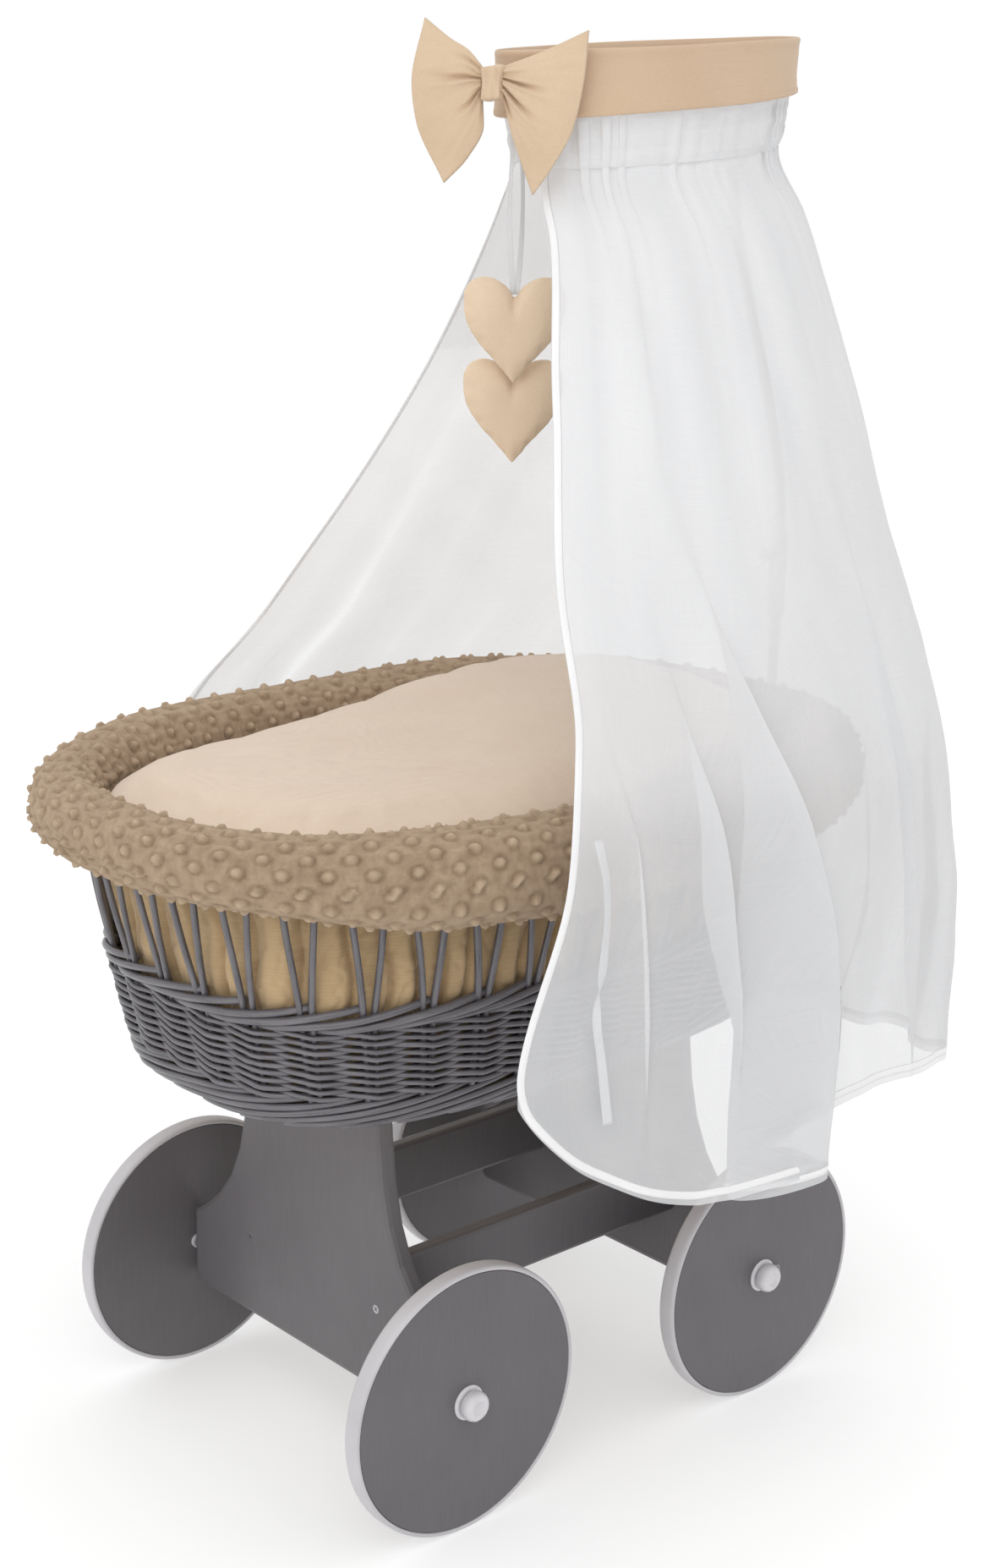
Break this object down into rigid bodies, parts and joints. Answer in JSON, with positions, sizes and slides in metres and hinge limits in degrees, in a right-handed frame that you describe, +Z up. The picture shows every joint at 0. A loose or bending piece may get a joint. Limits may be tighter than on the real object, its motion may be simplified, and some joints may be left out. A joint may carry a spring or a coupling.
{
  "type": "baby cradle",
  "caption": "Wheeled wicker baby cradle: an oval basket on a painted board frame, with a padded rim roll, bedding and a pole that holds a sheer veil canopy with a bow and hanging hearts.",
  "frame": {"origin": "on the floor under the middle of the cradle, midway between the axles", "axes": "+X along the cradle's length towards the head end, +Y to its left side, +Z up"},
  "size_m": [0.9673, 0.7737, 1.4421],
  "materials": {
    "dark_grey_paint": "painted, satin",
    "steel": "bright",
    "pale_rubber": "matt",
    "pale_plastic": "matt",
    "plywood": "raw",
    "grey_wicker": "woven, satin",
    "brown_plush": "dimpled plush",
    "beige_cotton": "plain weave",
    "pale_cotton": "plain weave",
    "white_cotton": "plain weave",
    "white_enamel": "gloss",
    "white_voile": "sheer"
  },
  "bodies": {
    "cradle": {"front_panel": "dark_grey_paint", "rear_panel": "dark_grey_paint", "rail_left": "dark_grey_paint", "rail_right": "dark_grey_paint", "rail_screw_front_left": "steel", "rail_screw_front_right": "steel", "rail_screw_rear_left": "steel", "rail_screw_rear_right": "steel", "axle_front_left": "steel", "axle_front_right": "steel", "axle_rear_left": "steel", "axle_rear_right": "steel", "hub_clip_front_left": "steel", "hub_clip_front_right": "steel", "hub_clip_rear_left": "steel", "hub_clip_rear_right": "steel", "hub_knob_front_left": "pale_plastic", "hub_knob_front_right": "pale_plastic", "hub_knob_rear_left": "pale_plastic", "hub_knob_rear_right": "pale_plastic", "base_board": "plywood", "bottom_border": "grey_wicker", "basket_wall": "grey_wicker", "top_border": "grey_wicker", "stake_lattice": "grey_wicker", "padded_roll": "brown_plush", "liner": "beige_cotton", "duvet": "pale_cotton", "mattress": "white_cotton", "head_pillow": "white_cotton", "pole_lower": "white_enamel", "pole_sleeve": "white_enamel", "pole_saddle_1": "white_enamel", "pole_saddle_2": "white_enamel"},
    "wheel_front_left": {"wheel_disc_front_left": "dark_grey_paint", "tyre_front_left": "pale_rubber", "hub_flange_front_left": "pale_plastic"},
    "wheel_front_right": {"wheel_disc_front_right": "dark_grey_paint", "tyre_front_right": "pale_rubber", "hub_flange_front_right": "pale_plastic"},
    "wheel_rear_left": {"wheel_disc_rear_left": "dark_grey_paint", "tyre_rear_left": "pale_rubber", "hub_flange_rear_left": "pale_plastic"},
    "wheel_rear_right": {"wheel_disc_rear_right": "dark_grey_paint", "tyre_rear_right": "pale_rubber", "hub_flange_rear_right": "pale_plastic"},
    "canopy": {"pole_upper": "white_enamel", "canopy_ring": "steel", "canopy_band": "beige_cotton", "veil": "white_voile", "bow_right_lobe": "beige_cotton", "bow_left_lobe": "beige_cotton", "bow_knot": "beige_cotton", "veil_tie": "white_voile"},
    "clamp": {"clamp_screw": "white_enamel"},
    "upper_heart": {"heart_ribbon": "white_voile", "heart_upper": "beige_cotton"},
    "lower_heart": {"heart_lower": "beige_cotton"}
  },
  "joints": [
    {"name": "front_left_wheel_spin", "type": "hinge", "parent": "cradle", "child": "wheel_front_left", "pos_m": [-0.21135, 0.2299, 0.14], "axis": [0, 1, 0], "continuous": true},
    {"name": "front_right_wheel_spin", "type": "hinge", "parent": "cradle", "child": "wheel_front_right", "pos_m": [-0.21135, -0.2299, 0.14], "axis": [0, 1, 0], "continuous": true},
    {"name": "rear_left_wheel_spin", "type": "hinge", "parent": "cradle", "child": "wheel_rear_left", "pos_m": [0.21135, 0.2299, 0.14], "axis": [0, 1, 0], "continuous": true},
    {"name": "rear_right_wheel_spin", "type": "hinge", "parent": "cradle", "child": "wheel_rear_right", "pos_m": [0.21135, -0.2299, 0.14], "axis": [0, 1, 0], "continuous": true},
    {"name": "canopy_lift", "type": "slide", "parent": "cradle", "child": "canopy", "axis": [0, 0, 1], "range_m": [0, 0.05]},
    {"name": "clamp_turn", "type": "hinge", "parent": "cradle", "child": "clamp", "pos_m": [0.4457, 0, 0.875], "axis": [-1, 0, 0], "range_deg": [0, 360]},
    {"name": "upper_heart_swing", "type": "hinge", "parent": "canopy", "child": "upper_heart", "pos_m": [0.0551, 0.0167, 1.35], "axis": [0.6691, 0.7431, 0], "range_deg": [-15, 15]},
    {"name": "lower_heart_swing", "type": "hinge", "parent": "upper_heart", "child": "lower_heart", "pos_m": [0.062, 0.0244, 1.088], "axis": [0.6691, 0.7431, 0], "range_deg": [-10, 10]}
  ]
}
